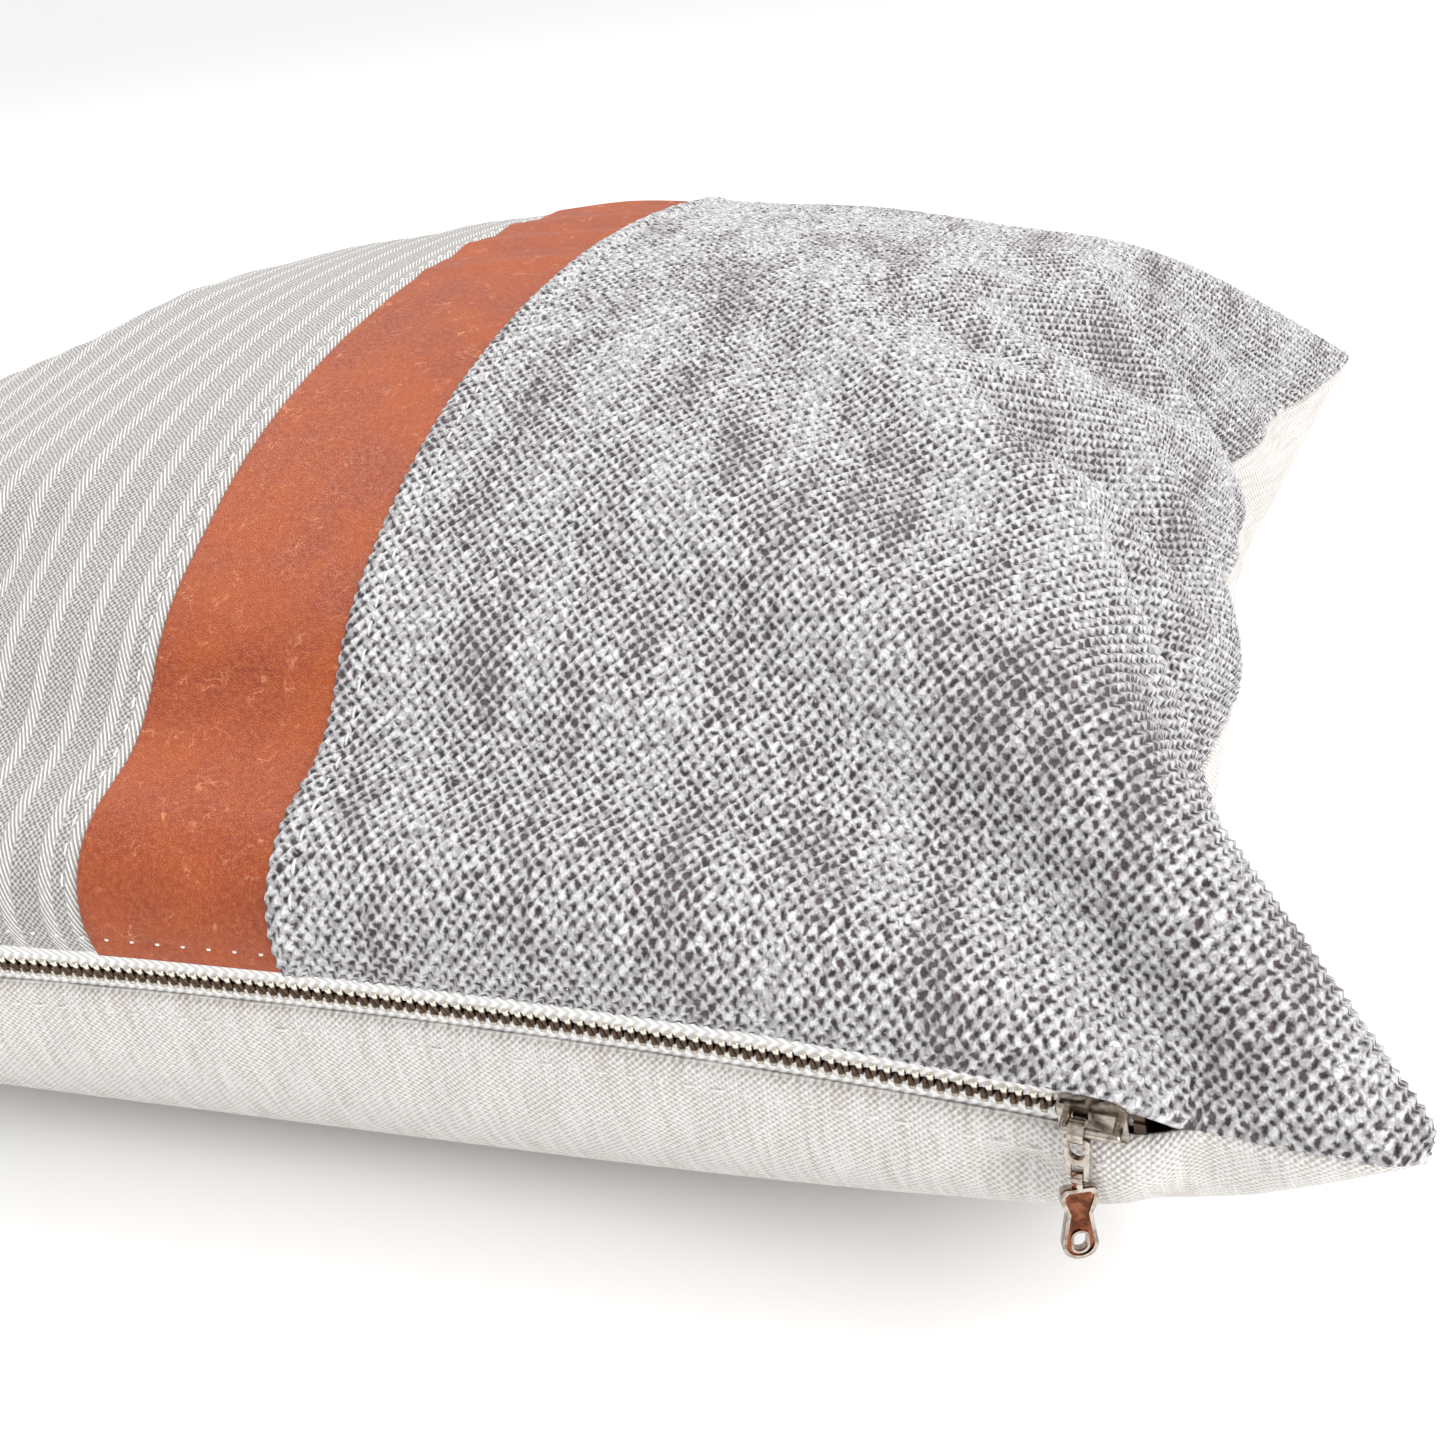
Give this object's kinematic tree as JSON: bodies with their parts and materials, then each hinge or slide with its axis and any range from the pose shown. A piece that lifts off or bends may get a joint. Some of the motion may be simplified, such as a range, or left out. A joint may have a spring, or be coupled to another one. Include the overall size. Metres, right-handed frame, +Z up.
{
  "type": "throw pillow",
  "caption": "Square patchwork throw pillow: striped, leather and woven panels over a canvas back, insert inside, closed by an exposed metal zip with a hanging pull",
  "frame": {"origin": "middle of the flat patch of the back panel that the pillow rests on", "axes": "+Z up, out of the patchwork face; -Y is the zip edge; +X is the way the zip closes, towards the grey panel"},
  "size_m": [0.433, 0.429, 0.1596],
  "materials": {
    "striped_ticking": "woven ticking, warm grey with off-white stripes",
    "cognac_leather": "soft cognac faux leather, semi-matt",
    "grey_weave": "chunky grey and white basket weave",
    "canvas": "off-white slubby canvas",
    "thread": "off-white sewing thread",
    "zip_tape": "white herringbone tape",
    "antique_brass": "dark antique brass, worn bright on the heads",
    "nickel": "polished nickel",
    "insert_shell": "white non-woven shell",
    "fibre_fill": "loose polyester fibre"
  },
  "bodies": {
    "pillow": {"striped_panel": "striped_ticking", "leather_band": "cognac_leather", "grey_panel": "grey_weave", "back_panel": "canvas", "striped_seam_stitching": "thread", "grey_topstitching": "thread", "zip_upper_stitching": "thread", "zip_lower_stitching": "thread", "seam_allowance_left": "striped_ticking", "seam_allowance_right": "grey_weave", "seam_allowance_back": "canvas", "zip_tape_upper": "zip_tape", "zip_tape_lower": "zip_tape", "zip_teeth_upper": "antique_brass", "zip_teeth_lower": "antique_brass", "zip_top_stops": "antique_brass", "zip_bottom_stop": "antique_brass", "insert_front_cover": "insert_shell", "insert_back_cover": "insert_shell", "insert_fill": "fibre_fill", "insert_closing_seam": "thread"},
    "slider": {"slider_body": "nickel", "slider_crown": "nickel"},
    "link": {"pull_link": "nickel"},
    "tab": {"pull_tab": "nickel"}
  },
  "joints": [
    {"name": "zip_travel", "type": "hinge", "parent": "pillow", "child": "slider", "pos_m": [0, -1.7762, 0.064], "axis": [0, 0, -1], "range_deg": [-12.47, 0], "deforming": ["zip_teeth_upper", "zip_teeth_lower"]},
    {"name": "link_swing", "type": "hinge", "parent": "slider", "child": "link", "pos_m": [0.17027, -0.20073, 0.06234], "axis": [-0.9941, 0.1087, 0], "range_deg": [0, 140]},
    {"name": "tab_swing", "type": "hinge", "parent": "link", "child": "tab", "pos_m": [0.17027, -0.20073, 0.05274], "axis": [-0.9941, 0.1087, 0], "range_deg": [-10, 75]}
  ]
}
